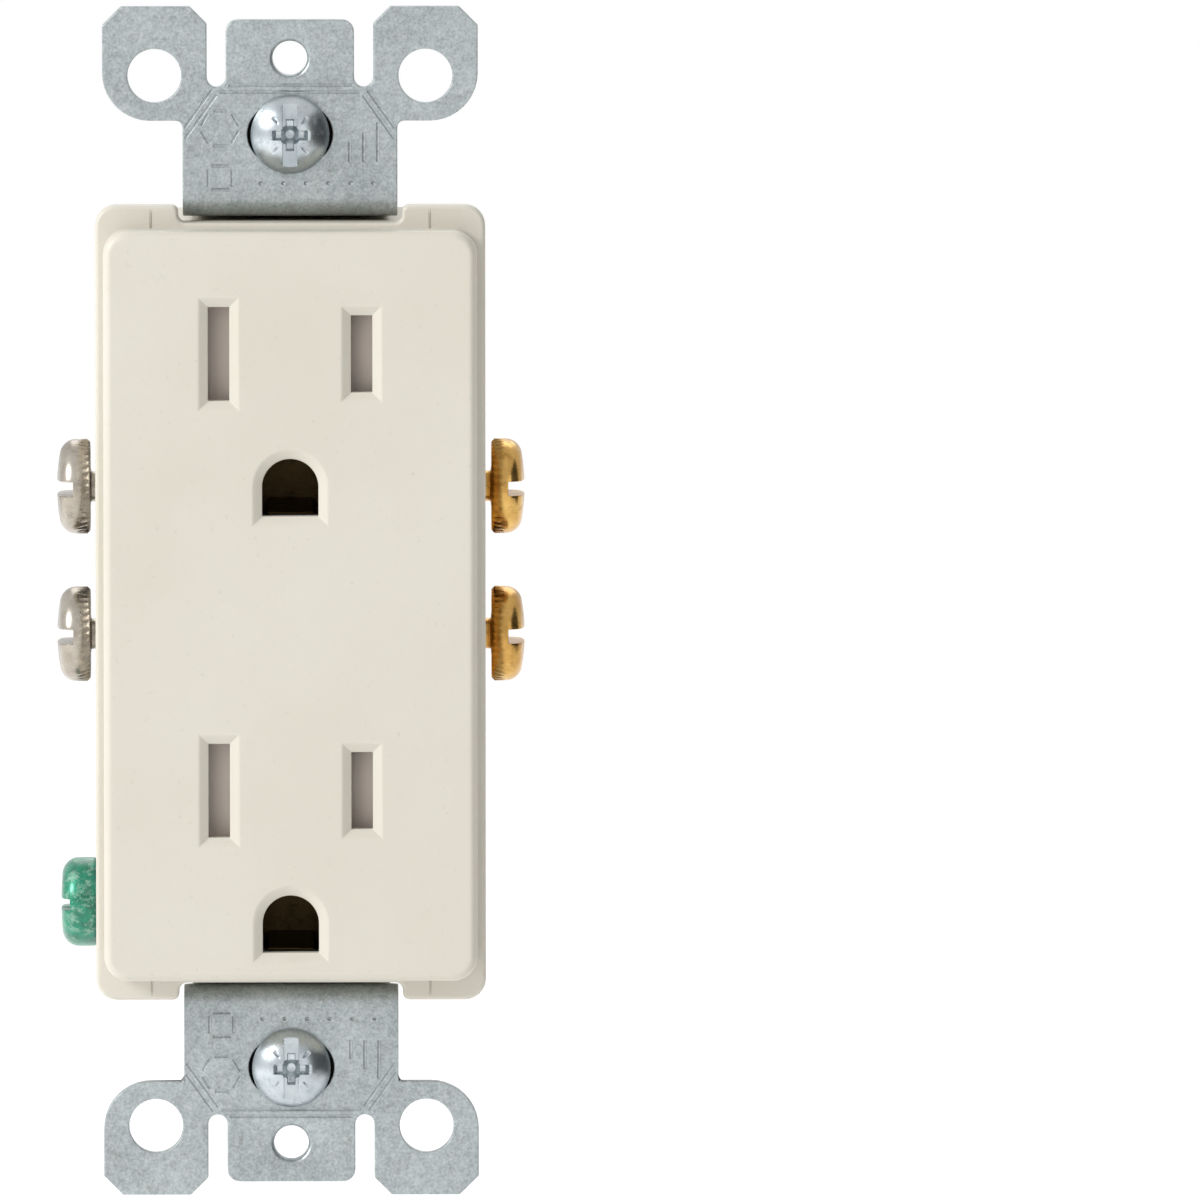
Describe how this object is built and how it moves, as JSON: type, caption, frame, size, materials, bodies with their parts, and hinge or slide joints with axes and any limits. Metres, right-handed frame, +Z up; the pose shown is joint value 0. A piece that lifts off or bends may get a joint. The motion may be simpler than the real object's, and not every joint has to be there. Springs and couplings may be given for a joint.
{
  "type": "duplex wall outlet",
  "caption": "Wall receptacle with a rectangular face, shuttered blade slots, ground holes, a wrap-around steel strap and side terminal screws.",
  "frame": {"origin": "midway between the two wall plate screw holes, on the rear face of the strap, which is the wall's plane", "axes": "-Y out of the wall through the face, +Z up along the strap, +X to the right seen from the front"},
  "size_m": [0.0418, 0.0282, 0.1062],
  "materials": {
    "cover": "light almond moulded thermoplastic, satin",
    "housing": "almond moulded thermoplastic",
    "shutter": "grey-brown moulded nylon",
    "galvanised": "galvanised steel",
    "zinc": "bright zinc plated steel",
    "nickel": "nickel plated",
    "brass": "plain brass",
    "green": "green dyed plating",
    "spring_steel": "spring steel",
    "fibre": "red vulcanised fibre"
  },
  "bodies": {
    "root": {"front_cover": "cover", "rear_housing": "housing", "mounting_strap": "galvanised", "neutral_contact_strip": "nickel", "hot_contact_strip": "brass", "ground_contact_strip": "brass", "ground_rivet_upper": "zinc", "ground_rivet_lower": "zinc", "shutter_tray_upper": "shutter", "shutter_tray_lower": "shutter", "shutter_spring_upper": "spring_steel", "shutter_spring_lower": "spring_steel", "wire_clip_neutral_upper": "spring_steel", "wire_clip_neutral_lower": "spring_steel", "wire_clip_hot_upper": "spring_steel", "wire_clip_hot_lower": "spring_steel", "assembly_screw_1": "zinc", "assembly_screw_2": "zinc", "assembly_screw_3": "zinc", "assembly_screw_4": "zinc"},
    "upper_shutter": {"shutter_upper": "shutter"},
    "lower_shutter": {"shutter_lower": "shutter"},
    "upper_retainer": {"screw_retainer_upper": "fibre"},
    "lower_retainer": {"screw_retainer_lower": "fibre"},
    "upper_mounting_screw": {"mounting_screw_head_upper": "zinc", "mounting_screw_neck_upper": "zinc", "mounting_screw_shank_upper": "zinc"},
    "lower_mounting_screw": {"mounting_screw_head_lower": "zinc", "mounting_screw_neck_lower": "zinc", "mounting_screw_shank_lower": "zinc"},
    "upper_neutral_screw": {"neutral_screw_upper": "nickel"},
    "lower_neutral_screw": {"neutral_screw_lower": "nickel"},
    "upper_hot_screw": {"hot_screw_upper": "brass"},
    "lower_hot_screw": {"hot_screw_lower": "brass"},
    "ground_terminal_screw": {"ground_screw": "green"}
  },
  "joints": [
    {"name": "upper_shutter_slide", "type": "slide", "parent": "root", "child": "upper_shutter", "axis": [1, 0, 0], "range_m": [0, 0.0029], "stiffness_N_per_m": 150, "springref_m": -0.003, "deforming": ["shutter_spring_upper"]},
    {"name": "lower_shutter_slide", "type": "slide", "parent": "root", "child": "lower_shutter", "axis": [1, 0, 0], "range_m": [0, 0.0029], "stiffness_N_per_m": 150, "springref_m": -0.003, "deforming": ["shutter_spring_lower"]},
    {"name": "upper_mounting_screw_shift", "type": "slide", "parent": "root", "child": "upper_retainer", "axis": [1, 0, 0], "range_m": [-0.002, 0.002]},
    {"name": "lower_mounting_screw_shift", "type": "slide", "parent": "root", "child": "lower_retainer", "axis": [1, 0, 0], "range_m": [-0.002, 0.002]},
    {"name": "upper_mounting_screw_turn", "type": "hinge", "parent": "upper_retainer", "child": "upper_mounting_screw", "pos_m": [0, 0, 0.04167], "axis": [0, 1, 0], "continuous": true},
    {"name": "lower_mounting_screw_turn", "type": "hinge", "parent": "lower_retainer", "child": "lower_mounting_screw", "pos_m": [0, 0, -0.04167], "axis": [0, 1, 0], "continuous": true},
    {"name": "upper_neutral_screw_turn", "type": "hinge", "parent": "root", "child": "upper_neutral_screw", "pos_m": [-0.017, 0.007, 0.0097], "axis": [1, 0, 0], "range_deg": [-720, 400]},
    {"name": "lower_neutral_screw_turn", "type": "hinge", "parent": "root", "child": "lower_neutral_screw", "pos_m": [-0.017, 0.007, -0.0035], "axis": [1, 0, 0], "range_deg": [-720, 400]},
    {"name": "upper_hot_screw_turn", "type": "hinge", "parent": "root", "child": "upper_hot_screw", "pos_m": [0.017, 0.007, 0.0097], "axis": [-1, 0, 0], "range_deg": [-720, 400]},
    {"name": "lower_hot_screw_turn", "type": "hinge", "parent": "root", "child": "lower_hot_screw", "pos_m": [0.017, 0.007, -0.0035], "axis": [-1, 0, 0], "range_deg": [-720, 400]},
    {"name": "ground_screw_turn", "type": "hinge", "parent": "root", "child": "ground_terminal_screw", "pos_m": [-0.017, 0.008, -0.0276], "axis": [1, 0, 0], "range_deg": [-1080, 0]}
  ]
}
